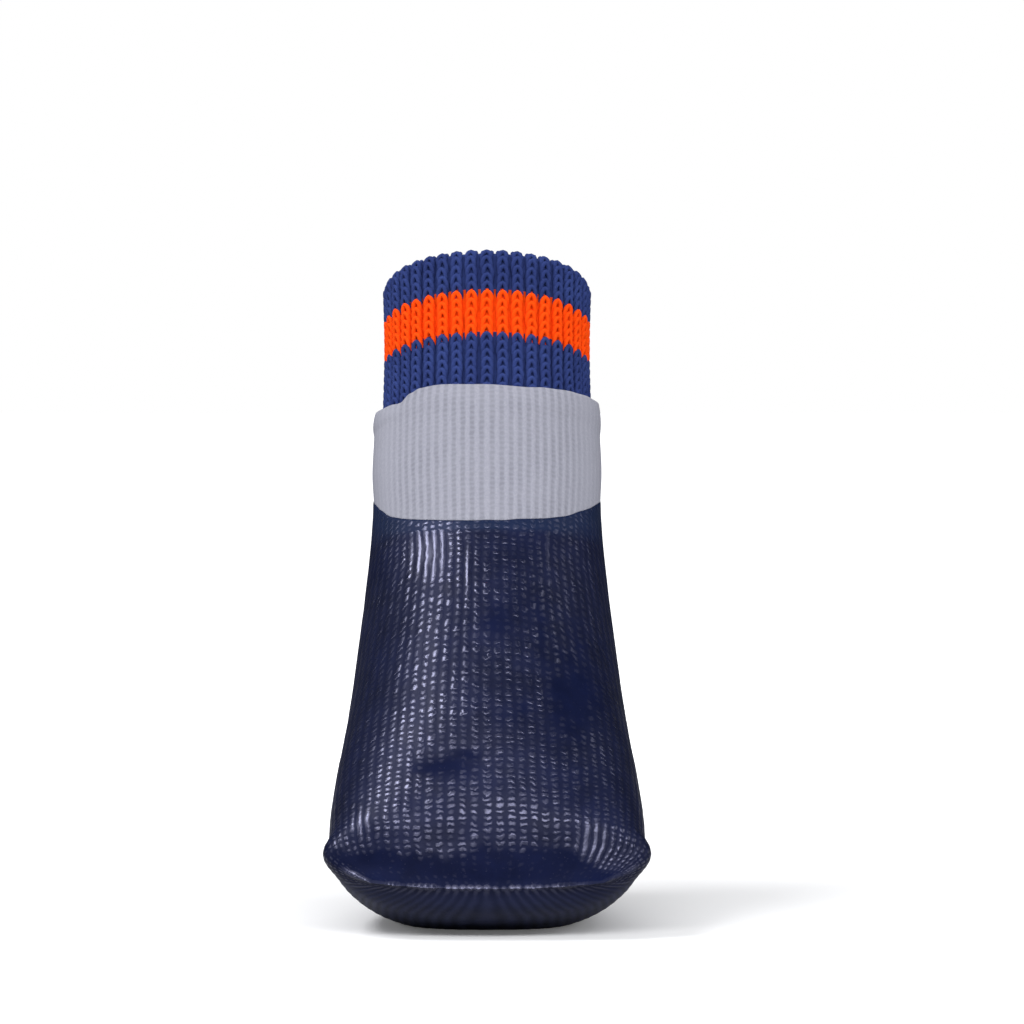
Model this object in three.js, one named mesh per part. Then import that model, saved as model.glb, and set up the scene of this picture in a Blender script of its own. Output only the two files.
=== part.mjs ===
// Dog boot: a knitted sock with a ribbed cuff, its foot dipped in rubber.
// Millimetres, +Z up. The boot stands on its sole at z = 0 and its toe points to -Y.
import * as THREE from 'three';
import { mergeVertices } from 'three/addons/utils/BufferGeometryUtils.js';

// Driving sizes of the last
const FOOT_LENGTH = 62; // toe seam to the back of the heel
const BALL_WIDTH = 49.4; // across the toes, the widest place
const INSTEP_HEIGHT = 62.4; // floor to the rubber's top edge, at the front
const LEG_HEIGHT = 20.2; // rubber's top edge to the cuff, at the front
const CUFF_HEIGHT = 23.2; // foot of the cuff to its rim, at the front
const LEG_WIDTH = 37; // across the grey leg
const CUFF_WIDTH = 33.9; // across the ribs of the cuff

// Walls and clearances
const KNIT_WALL = 1.3;
const CUFF_WALL = 2.5; // doubled rib
const INSTEP_COAT = 1.0;
const SOLE_COAT = 1.6;
const FIT_GAP = 0.3; // between two pieces that touch on the real boot
const TOE_FIT_GAP = 0.6; // the same inside the sharp corner of the toe seam
const KNIT_INSET = 0.1; // how far the bare knit lies under the rubber's surface

// Ribs of the cuff
const RIB_COUNT = 38;
const RIB_DEPTH = 0.7;
const RIB_EVENING = 0.08; // turn, in radians, that brings the ribs to one pitch all round the flattened cuff
const CUFF_TUCK = 1.2; // length of the cuff's foot inside the sock's neck
const TUCK_DEPTH = 1.2; // how far its foot is drawn in from the ribs
const NECK_ROLL = 0.6; // how far the sock's rolled neck stands out of its gap to the cuff

// Toe seam, the raised ridge across the toe with an ear at each end
const SEAM_HEIGHT = 0.7;
const SEAM_WIDTH = 1.1;
const EAR_HEIGHT = 1.1;
const EAR_WIDTH = 1.7;
const EAR_ROW = 3;

// Rubber's top edge: how much higher it lies at the sides than its row
const DIP_CORNER_RISE = 2.2;
const DIP_CORNER_SHARPNESS = 6;

// Fullness of the ovals: 1 is a true oval, less is fuller at the sides
const OVAL_POWER = 0.95;
const SOLE_POWER = 0.7; // the same for the underside of the foot

// The rubber thickens as its surface turns to the floor, between these parts of straight down
const THICKENING = { from: 0.1, to: 0.8 };

// The toe's walls are set in along rays from a line across its inside, given in shares of BALL_WIDTH,
// FOOT_LENGTH and INSTEP_HEIGHT. Between two rows the rays give way to the direction square to the surface.
const TOE_MIDDLE = { across: 0.3, back: 0.25, up: 0.17 };
const TOE_RAYS = { from: 1.5, to: 4 };
const TOE_GAP_ROW = 1.5; // where the wider gap inside the toe ends

// How finely the pieces are faceted: points round a ring, and the rows that the surfaces are made of
const AROUND = 44;
const POINTS_PER_RIB = 4;
const SEAM_STEPS = 12;
const RIM_STEPS = 4;
const FOOT_STATIONS = [0, 0.35, 0.8, 1.3, 2, 2.6, 3.3, 4, 5, 6, 7, 7.6, 8.2, 8.8, 9.5, 10.2];
const LEG_STATIONS = [11.45, 12, 12.5, 13];
const CUFF_STATIONS = [0.12, 0.6, 1.1, 1.6];
const NECK_STATIONS = { roll: 0.1, top: 0.08, foot: 0 };
const EDGE_STEP = 0.09; // length of the sock's step at the rubber's edge, in rows
const MERGE_DISTANCE = 1e-3;

// A table's rows with their columns named. Each row is a ring through a front, a back and two side points:
// how far back and up the front point and the back point lie, the half width, and how far back and up
// the side points lie from the middle of the two.
const COLUMNS = ['name', 'frontBack', 'frontUp', 'backBack', 'backUp', 'width', 'sideBack', 'sideUp'];
const table = (rows) => rows.map((row) => Object.fromEntries(COLUMNS.map((column, i) => [column, row[i]])));

// Rows of the foot, from the toe seam up. Lengths back from the toe are shares of FOOT_LENGTH,
// heights of INSTEP_HEIGHT, widths of half BALL_WIDTH. A height under the floor is pressed flat against it.
const FOOT_ROWS = table([
  ['toe seam', 0.000, 0.128, 0.000, 0.128, 0.710, 0.014, 0.013],
  ['toe cap', 0.013, 0.170, 0.018, 0.080, 0.840, 0.039, 0.035],
  ['toe edge', 0.027, 0.228, 0.068, 0.046, 0.935, 0.036, 0.045],
  ['toe root', 0.052, 0.304, 0.155, 0.018, 0.968, 0.010, 0.036],
  ['toes', 0.103, 0.394, 0.275, -0.010, 0.980, 0.000, 0.018],
  ['ball', 0.184, 0.516, 0.440, -0.030, 0.985, 0.000, 0.000],
  ['mid foot', 0.273, 0.636, 0.605, -0.030, 0.965, 0.000, 0.000],
  ['heel front', 0.347, 0.729, 0.742, -0.012, 0.935, 0.000, 0.000],
  ['heel', 0.411, 0.806, 0.871, 0.112, 0.895, 0.000, 0.000],
  ['heel back', 0.471, 0.878, 0.953, 0.350, 0.845, 0.000, 0.000],
  ['ankle', 0.526, 0.941, 1.018, 0.655, 0.790, 0.000, 0.000],
]);

// Rows of the leg. Lengths back are shares of FOOT_LENGTH, heights above the rubber's edge of LEG_HEIGHT,
// widths of half LEG_WIDTH.
const LEG_ROWS = table([
  ['rubber edge', 0.568, 0.000, 1.122, 0.110, 0.995, 0.000, -0.037],
  ['leg', 0.656, 0.398, 1.152, 0.270, 1.010, 0.000, 0.000],
  ['shoulder', 0.750, 0.850, 1.180, 0.400, 1.000, 0.000, 0.000],
]);

// Rows of the cuff. Lengths back are shares of FOOT_LENGTH, heights above its foot of CUFF_HEIGHT,
// widths of half CUFF_WIDTH.
const CUFF_ROWS = table([
  ['foot', 0.816, 0.000, 1.171, -0.400, 1.000, 0.000, 0.000],
  ['waist', 0.888, 0.490, 1.250, 0.020, 0.990, 0.000, 0.000],
  ['rim', 0.961, 1.000, 1.331, 0.440, 1.010, 0.000, 0.000],
]);

// One row of a table as points of the boot: along y from the toe, which lies at y = 0
function rowPoints(row, lengthUnit, heightFrom, heightUnit, widthUnit) {
  const height = (share) => heightFrom + share * heightUnit;
  const middleUp = (row.frontUp + row.backUp) / 2;
  const middleBack = (row.frontBack + row.backBack) / 2;
  return {
    front: new THREE.Vector3(0, row.frontBack * lengthUnit, height(row.frontUp)),
    back: new THREE.Vector3(0, row.backBack * lengthUnit, height(row.backUp)),
    side: new THREE.Vector3(
      row.width * widthUnit / 2,
      (middleBack + row.sideBack) * lengthUnit,
      height(middleUp + row.sideUp),
    ),
  };
}

// A form is three smooth lines along the boot: front, back and side. Whole numbers along it are its rows.
function makeForm(rows) {
  const line = (key) => new THREE.CatmullRomCurve3(rows.map((row) => row[key]), false, 'centripetal');
  return { lines: { front: line('front'), back: line('back'), side: line('side') }, last: rows.length - 1 };
}

// The foot is fuller underneath than above, between its toe seam and its heel
function ovalPower(form, along, around) {
  if (form !== lastForm || Math.cos(around) > 0) return OVAL_POWER;
  const toeEdge = FOOT_ROWS.findIndex((row) => row.name === 'toe edge');
  const heel = FOOT_ROWS.findIndex((row) => row.name === 'heel');
  const afterSeam = THREE.MathUtils.smoothstep(along, 0, toeEdge);
  const beforeHeel = 1 - THREE.MathUtils.smoothstep(along, heel - 1, EDGE_ROW);
  return THREE.MathUtils.lerp(OVAL_POWER, SOLE_POWER, afterSeam * beforeHeel);
}

// A point of a form. along runs over its rows, around is 0 at the front and half a turn at the back.
function formPoint(form, along, around) {
  const at = (key) => form.lines[key].getPoint(THREE.MathUtils.clamp(along / form.last, 0, 1));
  const [front, back, side] = [at('front'), at('back'), at('side')];
  const middle = front.clone().add(back).multiplyScalar(0.5);
  const sine = Math.sin(around);
  const point = middle.clone().addScaledVector(front.sub(back), 0.5 * Math.cos(around));
  point.addScaledVector(side.clone().sub(middle).setX(0), sine * sine);
  point.x = side.x * Math.sign(sine) * Math.abs(sine) ** ovalPower(form, along, around);
  point.z = Math.max(point.z, 0);
  return point;
}

// The outward direction at a point of a form
const STEP_ALONG = 0.02;
const STEP_AROUND = 0.02;
function formNormal(form, along, around) {
  const low = Math.max(along - STEP_ALONG, 0);
  const high = Math.min(along + STEP_ALONG, form.last);
  const up = formPoint(form, high, around).sub(formPoint(form, low, around));
  const onward = formPoint(form, along, around + STEP_AROUND);
  return onward.sub(formPoint(form, along, around - STEP_AROUND)).cross(up).normalize();
}

// The way out of the wall at a point: square to the surface, but at the toe away from a line across
// its inside, so that walls set in from the toe's sharp seam don't fold
function surfaceNormal(form, along, around) {
  const toeEnd = form === lastForm ? 1 - THREE.MathUtils.smoothstep(along, TOE_RAYS.from, TOE_RAYS.to) : 0;
  if (toeEnd === 0) return formNormal(form, along, around);
  const point = formPoint(form, along, around);
  const across = THREE.MathUtils.clamp(point.x, -toeMiddle.x, toeMiddle.x);
  const ray = point.clone().sub(new THREE.Vector3(across, toeMiddle.y, toeMiddle.z)).normalize();
  if (toeEnd === 1) return ray;
  return formNormal(form, along, around).lerp(ray, toeEnd).normalize();
}

const footRows = FOOT_ROWS.map((row) => rowPoints(row, FOOT_LENGTH, 0, INSTEP_HEIGHT, BALL_WIDTH));
const legRows = LEG_ROWS.map((row) => rowPoints(row, FOOT_LENGTH, INSTEP_HEIGHT, LEG_HEIGHT, LEG_WIDTH));
const cuffFootHeight = INSTEP_HEIGHT + LEG_HEIGHT;
const cuffRows = CUFF_ROWS.map((row) => rowPoints(row, FOOT_LENGTH, cuffFootHeight, CUFF_HEIGHT, CUFF_WIDTH));
const lastForm = makeForm([...footRows, ...legRows]);
const cuffForm = makeForm(cuffRows);
const EDGE_ROW = FOOT_ROWS.length; // the row of the rubber's top edge
const toeMiddle = new THREE.Vector3(
  TOE_MIDDLE.across * BALL_WIDTH,
  TOE_MIDDLE.back * FOOT_LENGTH,
  TOE_MIDDLE.up * INSTEP_HEIGHT,
);

// Thickness of the rubber: thin on the instep and thick where it faces the floor
function coatWall(along, around) {
  const facingDown = -surfaceNormal(lastForm, along, around).z;
  const turned = THREE.MathUtils.smoothstep(facingDown, THICKENING.from, THICKENING.to);
  return THREE.MathUtils.lerp(INSTEP_COAT, SOLE_COAT, turned);
}

// The rubber's top edge rises at the sides: the rise in rows at a place round the leg
const rowHeight = footRows.at(-1).side.distanceTo(legRows[0].side);
function edgeRise(around) {
  return (DIP_CORNER_RISE / rowHeight) * Math.abs(Math.sin(around)) ** DIP_CORNER_SHARPNESS;
}

// Places round a ring
const turnPart = (count) => Array.from({ length: count }, (_, i) => (i / count) * 2 * Math.PI);
const EVEN_TURNS = turnPart(AROUND);
const RIB_TURNS = turnPart(RIB_COUNT * POINTS_PER_RIB).map((turn) => turn - RIB_EVENING * Math.sin(2 * turn));

// A ring of a form, set in from its surface by a depth that may change round it
function ring(form, along, depth, turns = EVEN_TURNS) {
  return turns.map((around, i) => {
    const place = typeof along === 'function' ? along(around) : along;
    const inward = typeof depth === 'function' ? depth(place, around, i) : depth;
    const normal = surfaceNormal(form, place, around);
    return formPoint(form, place, around).addScaledVector(normal, -inward);
  });
}

// A closed solid from the rings of its outside and of its inside, both listed from the toe or foot up.
// A ring of the toe seam is a line, which the merging zips shut. A tube open at both ends is joined there.
function solidFromRings(outside, inside, openBelow) {
  const rings = [...outside, ...[...inside].reverse()];
  const count = rings[0].length;
  const positions = rings.flat().flatMap((point) => [point.x, point.y, point.z]);
  const indices = [];
  const pairs = openBelow ? rings.length : rings.length - 1;
  for (let r = 0; r < pairs; r += 1) {
    const next = (r + 1) % rings.length;
    const goingUp = r < outside.length - 1;
    for (let i = 0; i < count; i += 1) {
      const j = (i + 1) % count;
      const [a, b, c, d] = [r * count + i, r * count + j, next * count + j, next * count + i];
      if (goingUp) indices.push(a, b, c, a, c, d);
      else indices.push(a, b, d, b, c, d);
    }
  }
  const geometry = new THREE.BufferGeometry();
  geometry.setAttribute('position', new THREE.Float32BufferAttribute(positions, 3));
  geometry.setIndex(indices);
  return dropThinFaces(mergeVertices(geometry, MERGE_DISTANCE));
}

// Faces that the merging left with two corners alike are taken out
function dropThinFaces(geometry) {
  const index = geometry.getIndex().array;
  const kept = [];
  for (let i = 0; i < index.length; i += 3) {
    const [a, b, c] = [index[i], index[i + 1], index[i + 2]];
    if (a !== b && b !== c && c !== a) kept.push(a, b, c);
  }
  geometry.setIndex(kept);
  geometry.computeVertexNormals();
  return geometry;
}

// The toe seam as a line of points, from ear to ear
function seamLine() {
  const points = [];
  for (let i = -SEAM_STEPS; i <= SEAM_STEPS; i += 1) {
    const around = (i / SEAM_STEPS) * (Math.PI / 2);
    points.push({ point: formPoint(lastForm, 0, around), height: SEAM_HEIGHT, width: SEAM_WIDTH });
  }
  for (const side of [-1, 1]) {
    for (let i = 1; i <= SEAM_STEPS; i += 1) {
      const share = i / SEAM_STEPS;
      const point = formPoint(lastForm, share * EAR_ROW, side * (Math.PI / 2));
      const height = THREE.MathUtils.lerp(SEAM_HEIGHT, EAR_HEIGHT, share);
      points.push({ point, height, width: THREE.MathUtils.lerp(SEAM_WIDTH, EAR_WIDTH, share) });
    }
  }
  return points;
}
const toeSeam = seamLine();

// How far the seam's ridge stands out at a point near it
function seamRise(point) {
  let rise = 0;
  for (const place of toeSeam) {
    const distance = place.point.distanceTo(point) / place.width;
    rise = Math.max(rise, place.height * Math.exp(-distance * distance));
  }
  return rise;
}

// The dipped coat: outside from the toe to its top edge, then back down its inside
function rubberCoat() {
  const outerDepth = (along, around) => -seamRise(formPoint(lastForm, along, around));
  const edge = (around) => EDGE_ROW + edgeRise(around);
  const outside = FOOT_STATIONS.map((along) => ring(lastForm, along, outerDepth));
  const inside = FOOT_STATIONS.map((along) => ring(lastForm, along, coatWall));
  outside.push(ring(lastForm, edge, 0));
  inside.push(ring(lastForm, edge, INSTEP_COAT));
  return solidFromRings(outside, inside, false);
}

// The sock: its outside lies under the rubber up to the edge, then flush with it, and rolls in to the cuff
function knitSock() {
  const toeEnd = (along) => 1 - THREE.MathUtils.smoothstep(along, 0, TOE_GAP_ROW);
  const gap = (along) => THREE.MathUtils.lerp(FIT_GAP, TOE_FIT_GAP, toeEnd(along));
  const belowStep = (around) => EDGE_ROW + edgeRise(around) + FIT_GAP / rowHeight;
  const aboveStep = (around) => belowStep(around) + EDGE_STEP;
  const underCoat = (inward) => (along, around) => coatWall(along, around) + gap(along) + inward;
  const wallRings = (inward) => [
    ...FOOT_STATIONS.map((along) => ring(lastForm, along, underCoat(inward))),
    ring(lastForm, belowStep, INSTEP_COAT + FIT_GAP + inward),
    ring(lastForm, aboveStep, KNIT_INSET + inward),
    ...LEG_STATIONS.map((along) => ring(lastForm, along, KNIT_INSET + inward)),
  ];
  return solidFromRings([...wallRings(0), ...neckRoll()], wallRings(KNIT_WALL), false);
}

// The neck's rolled edge: from the shoulder it turns in to the ribs, square to the cuff
function neckRoll() {
  return [
    ring(cuffForm, NECK_STATIONS.roll, -(FIT_GAP + NECK_ROLL)),
    ring(cuffForm, NECK_STATIONS.top, -FIT_GAP),
    ring(cuffForm, NECK_STATIONS.foot, -FIT_GAP),
  ];
}

// Depth of the valley beside a rib, at one of the points that each rib has
function ribValley(point) {
  return RIB_DEPTH * 0.5 * (1 - Math.cos((point / POINTS_PER_RIB) * 2 * Math.PI));
}

// The cuff: a foot tucked into the neck, ribs up its outside, a round rim and a plain inside
function ribCuff() {
  const rimRadius = CUFF_WALL / 2;
  const axis = cuffRows[2].front.clone().sub(cuffRows[1].front).normalize();
  const shifted = (points, distance) => points.map((point) => point.clone().addScaledVector(axis, distance));
  const ribs = (along, around, i) => ribValley(i);
  const outside = [
    shifted(ring(cuffForm, 0, TUCK_DEPTH, RIB_TURNS), -CUFF_TUCK),
    ...CUFF_STATIONS.map((along) => ring(cuffForm, along, ribs, RIB_TURNS)),
  ];
  for (let i = 0; i <= RIM_STEPS; i += 1) {
    const turn = (i / RIM_STEPS) * Math.PI;
    const depth = (along, around, i) => rimRadius * (1 - Math.cos(turn)) + ribValley(i) * Math.cos(turn / 2);
    outside.push(shifted(ring(cuffForm, cuffForm.last, depth, RIB_TURNS), rimRadius * (Math.sin(turn) - 1)));
  }
  const inside = [
    shifted(ring(cuffForm, 0, CUFF_WALL, RIB_TURNS), -CUFF_TUCK),
    ring(cuffForm, 1, CUFF_WALL, RIB_TURNS),
  ];
  return solidFromRings(outside, inside, true);
}

const skin = (name, color, roughness) =>
  new THREE.MeshStandardMaterial({ name, color, roughness, metalness: 0 });
const KNIT_BLUE = skin('blue rib knit', 0x303c6f, 0.95);
const KNIT_GREY = skin('grey knit', 0xa9aab9, 0.95);
const NAVY_RUBBER = skin('navy rubber', 0x1c2346, 0.3);

const boot = new THREE.Group();
const pieces = [
  { name: 'rib_cuff', geometry: ribCuff(), material: KNIT_BLUE },
  { name: 'knit_sock', geometry: knitSock(), material: KNIT_GREY },
  { name: 'rubber_coat', geometry: rubberCoat(), material: NAVY_RUBBER },
];
for (const { name, geometry, material } of pieces) {
  const mesh = new THREE.Mesh(geometry, material);
  mesh.name = name;
  boot.add(mesh);
}

// The origin is on the floor under the middle of the boot's length
const box = new THREE.Box3().setFromObject(boot);
boot.position.y = -(box.min.y + box.max.y) / 2;

export default boot;
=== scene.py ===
"""A knitted dog boot with a ribbed, striped cuff, its foot dipped in navy rubber."""

import math

import bmesh
import bpy
import numpy as np
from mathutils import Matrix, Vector


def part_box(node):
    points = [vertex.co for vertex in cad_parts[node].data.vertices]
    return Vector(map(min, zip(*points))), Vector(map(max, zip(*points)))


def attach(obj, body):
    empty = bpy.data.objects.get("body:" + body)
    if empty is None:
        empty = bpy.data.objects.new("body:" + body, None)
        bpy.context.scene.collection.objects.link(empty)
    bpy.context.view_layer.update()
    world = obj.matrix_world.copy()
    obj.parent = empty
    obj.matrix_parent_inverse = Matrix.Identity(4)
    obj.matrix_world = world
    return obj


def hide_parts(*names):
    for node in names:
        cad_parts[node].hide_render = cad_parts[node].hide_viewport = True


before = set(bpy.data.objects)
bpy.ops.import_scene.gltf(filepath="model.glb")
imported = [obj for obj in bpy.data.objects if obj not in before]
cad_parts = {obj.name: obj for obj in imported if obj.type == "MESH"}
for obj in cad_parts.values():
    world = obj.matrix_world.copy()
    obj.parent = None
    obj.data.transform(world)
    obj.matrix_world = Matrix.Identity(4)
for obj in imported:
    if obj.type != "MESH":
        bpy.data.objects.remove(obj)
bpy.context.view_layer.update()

MM = 0.001

# Sizes of the last, in metres
FOOT_LENGTH = 62 * MM
BALL_WIDTH = 49.4 * MM
INSTEP_HEIGHT = 62.4 * MM
LEG_HEIGHT = 20.2 * MM
CUFF_HEIGHT = 23.2 * MM
LEG_WIDTH = 37 * MM
CUFF_WIDTH = 33.9 * MM

# Walls and clearances
KNIT_WALL = 1.3 * MM
CUFF_WALL = 2.5 * MM
INSTEP_COAT = 1.0 * MM
SOLE_COAT = 1.6 * MM
FIT_GAP = 0.3 * MM
TOE_FIT_GAP = 0.6 * MM
KNIT_INSET = 0.1 * MM

# Knit
RIB_COUNT = 38
RIB_EVENING = 0.08
WALE_COUNT = 2 * RIB_COUNT
LEG_COURSE = 0.95 * MM
TOE_COURSE = 1.0 * MM
INSTEP_COURSE = 1.40 * MM
CUFF_COURSES = 17
STRIPE_TOP_COURSE = 5
STRIPE_COURSES = 5

# Toe seam
SEAM_HEIGHT = 0.7 * MM
SEAM_WIDTH = 1.1 * MM
SEAM_CREST = 0.55 * MM
SEAM_SOFT_SHARE = 0.15
EAR_HEIGHT = 1.1 * MM
EAR_WIDTH = 2.6 * MM
EAR_ROW = 3

# Rubber's top edge
DIP_CORNER_RISE = 2.2 * MM
DIP_CORNER_SHARPNESS = 6

OVAL_POWER = 0.95
SOLE_POWER = 0.7
TOE_RAYS_FROM = 1.5
TOE_RAYS_TO = 4

# Rows of the last, from the toe seam up. Columns: length back and height at the front, the same at the back,
# half width, and how far the widest points lie back and up from the middle of the row.
# Lengths are shares of FOOT_LENGTH, heights of INSTEP_HEIGHT, widths of half BALL_WIDTH.
FOOT_ROWS = (
    # front back, front up, back back, back up, width, side back, side up
    (0.000, 0.128, 0.000, 0.128, 0.710, 0.014, 0.013),
    (0.013, 0.170, 0.018, 0.080, 0.840, 0.039, 0.035),
    (0.027, 0.228, 0.068, 0.046, 0.935, 0.036, 0.045),
    (0.052, 0.304, 0.155, 0.018, 0.968, 0.010, 0.036),
    (0.103, 0.394, 0.275, -0.010, 0.980, 0.000, 0.018),
    (0.184, 0.516, 0.440, -0.030, 0.985, 0.000, 0.000),
    (0.273, 0.636, 0.605, -0.030, 0.965, 0.000, 0.000),
    (0.347, 0.729, 0.742, -0.012, 0.935, 0.000, 0.000),
    (0.411, 0.806, 0.871, 0.112, 0.895, 0.000, 0.000),
    (0.471, 0.878, 0.953, 0.350, 0.845, 0.000, 0.000),
    (0.526, 0.941, 1.018, 0.655, 0.790, 0.000, 0.000),
)
# Heights are shares of LEG_HEIGHT above the rubber's edge, widths of half LEG_WIDTH.
LEG_ROWS = (
    (0.568, 0.000, 1.122, 0.110, 0.995, 0.000, -0.037),
    (0.656, 0.398, 1.152, 0.270, 1.010, 0.000, 0.000),
    (0.750, 0.850, 1.180, 0.400, 1.000, 0.000, 0.000),
)
# Heights are shares of CUFF_HEIGHT above the cuff's foot, widths of half CUFF_WIDTH.
CUFF_ROWS = (
    (0.816, 0.000, 1.171, -0.400, 1.000, 0.000, 0.000),
    (0.888, 0.490, 1.250, 0.020, 0.990, 0.000, 0.000),
    (0.961, 1.000, 1.331, 0.440, 1.010, 0.000, 0.000),
)
TOE_EDGE_ROW = 2
HEEL_ROW = 8
EDGE_ROW = len(FOOT_ROWS)

# The toe seam lies where the frame's rubber coat begins
TOE_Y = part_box("rubber_coat")[0].y + SEAM_HEIGHT


def smoothstep(value, low, high):
    share = np.clip((value - low) / (high - low), 0, 1)
    return share * share * (3 - 2 * share)


def row_points(row, height_from, height_unit, width_unit):
    """The front, back and side points of one row of a table."""
    front_back, front_up, back_back, back_up, width, side_back, side_up = row
    middle_back, middle_up = (front_back + back_back) / 2, (front_up + back_up) / 2

    def place(x, back, up):
        return (x, TOE_Y + back * FOOT_LENGTH, height_from + up * height_unit)

    return (
        place(0, front_back, front_up),
        place(0, back_back, back_up),
        place(width * width_unit / 2, middle_back + side_back, middle_up + side_up),
    )


class Form:
    """A closed tube through rows: smooth lines along its front, back and side, and an oval round each row."""

    def __init__(self, rows, is_last):
        self.lines = [np.array(line) for line in zip(*rows)]
        self.last_row = len(rows) - 1
        self.is_last = is_last

    def line(self, which, along):
        """A centripetal curve through one line's points, which are at whole numbers along it."""
        points = self.lines[which]
        points = np.vstack([2 * points[0] - points[1], points, 2 * points[-1] - points[-2]])
        index = np.minimum(np.floor(along).astype(int), self.last_row - 1)
        weight = (along - index)[..., None]
        p0, p1, p2, p3 = (points[index + k] for k in range(4))

        def knot(a, b):
            return np.maximum(np.linalg.norm(b - a, axis=-1, keepdims=True) * 1000, 1e-8) ** 0.5

        d0, d1, d2 = knot(p0, p1), knot(p1, p2), knot(p2, p3)
        t1 = ((p1 - p0) / d0 - (p2 - p0) / (d0 + d1) + (p2 - p1) / d1) * d1
        t2 = ((p2 - p1) / d1 - (p3 - p1) / (d1 + d2) + (p3 - p2) / d2) * d1
        square, cube = weight**2, weight**3
        return p1 + t1 * weight + (3 * (p2 - p1) - 2 * t1 - t2) * square + (2 * (p1 - p2) + t1 + t2) * cube

    def oval_power(self, along, around):
        """The foot is fuller underneath than above, between its toe seam and its heel."""
        if not self.is_last:
            return OVAL_POWER
        fuller = smoothstep(along, 0, TOE_EDGE_ROW) * (1 - smoothstep(along, HEEL_ROW - 1, EDGE_ROW))
        return np.where(np.cos(around) > 0, OVAL_POWER, OVAL_POWER + (SOLE_POWER - OVAL_POWER) * fuller)

    def point(self, along, around):
        along, around = np.broadcast_arrays(np.clip(along, 0, self.last_row), around)
        front, back, side = (self.line(which, along) for which in range(3))
        sine, cosine = np.sin(around), np.cos(around)
        middle = (front + back) / 2
        point = middle + (front - back) / 2 * cosine[..., None]
        sideways = side - middle
        sideways[..., 0] = 0
        point = point + sideways * (sine**2)[..., None]
        point[..., 0] = side[..., 0] * np.sign(sine) * np.abs(sine) ** self.oval_power(along, around)
        point[..., 2] = np.maximum(point[..., 2], 0)
        return point

    def normal(self, along, around):
        """The way out of the wall: square to it, but at the toe away from a line across its inside."""
        step = 0.02
        along, around = np.broadcast_arrays(np.asarray(along, float), around)
        low, high = np.maximum(along - step, 0), np.minimum(along + step, self.last_row)
        up = self.point(high, around) - self.point(low, around)
        across = self.point(along, around + step) - self.point(along, around - step)
        square = unit(np.cross(across, up))
        if not self.is_last:
            return square
        middle = np.array((0.3 * BALL_WIDTH, TOE_Y + 0.25 * FOOT_LENGTH, 0.17 * INSTEP_HEIGHT))
        point = self.point(along, around)
        start = np.broadcast_to(middle, point.shape).copy()
        start[..., 0] = np.clip(point[..., 0], -middle[0], middle[0])
        ray = unit(point - start)
        toe_end = (1 - smoothstep(along, TOE_RAYS_FROM, TOE_RAYS_TO))[..., None]
        return unit(square * (1 - toe_end) + ray * toe_end)


def unit(vectors):
    return vectors / np.maximum(np.linalg.norm(vectors, axis=-1, keepdims=True), 1e-12)


foot_rows = [row_points(row, 0, INSTEP_HEIGHT, BALL_WIDTH) for row in FOOT_ROWS]
leg_rows = [row_points(row, INSTEP_HEIGHT, LEG_HEIGHT, LEG_WIDTH) for row in LEG_ROWS]
cuff_rows = [row_points(row, INSTEP_HEIGHT + LEG_HEIGHT, CUFF_HEIGHT, CUFF_WIDTH) for row in CUFF_ROWS]
last = Form(foot_rows + leg_rows, True)
cuff = Form(cuff_rows, False)
ROW_HEIGHT = float(np.linalg.norm(np.subtract(foot_rows[-1][2], leg_rows[0][2])))


def soft_noise(points, size, seed):
    """Smooth noise from -1 to 1 over points, with lumps of a given size."""
    table = np.random.RandomState(seed).uniform(-1, 1, 4096)
    place = points / size + 100
    cell = np.floor(place).astype(np.int64)
    share = place - cell
    share = share * share * (3 - 2 * share)
    total = 0
    for corner in range(8):
        offset = np.array([corner & 1, corner >> 1 & 1, corner >> 2 & 1])
        x, y, z = np.moveaxis(cell + offset, -1, 0)
        weight = np.prod(np.where(offset == 1, share, 1 - share), axis=-1)
        total = total + weight * table[(x * 73 + y * 179 + z * 283) % 4096]
    return total


def coat_wall(along, around):
    facing_down = -last.normal(along, around)[..., 2]
    return INSTEP_COAT + (SOLE_COAT - INSTEP_COAT) * smoothstep(facing_down, 0.1, 0.8)


def edge_rise(around):
    return DIP_CORNER_RISE / ROW_HEIGHT * np.abs(np.sin(around)) ** DIP_CORNER_SHARPNESS


def seam_line():
    """The toe seam as points from ear to ear, with its height and width at each."""
    across = np.linspace(-math.pi / 2, math.pi / 2, 49)
    points = [last.point(np.zeros(49), across)]
    shares = [np.zeros(49)]
    share = np.linspace(0, 1, 25)[1:]
    for side in (-1, 1):
        points.append(last.point(share * EAR_ROW, np.full(24, side * math.pi / 2)))
        shares.append(share)
    share = np.concatenate(shares)
    heights = SEAM_HEIGHT + (EAR_HEIGHT - SEAM_HEIGHT) * share
    widths = SEAM_WIDTH + (EAR_WIDTH - SEAM_WIDTH) * share
    return np.vstack(points), heights, widths


SEAM = seam_line()


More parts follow.
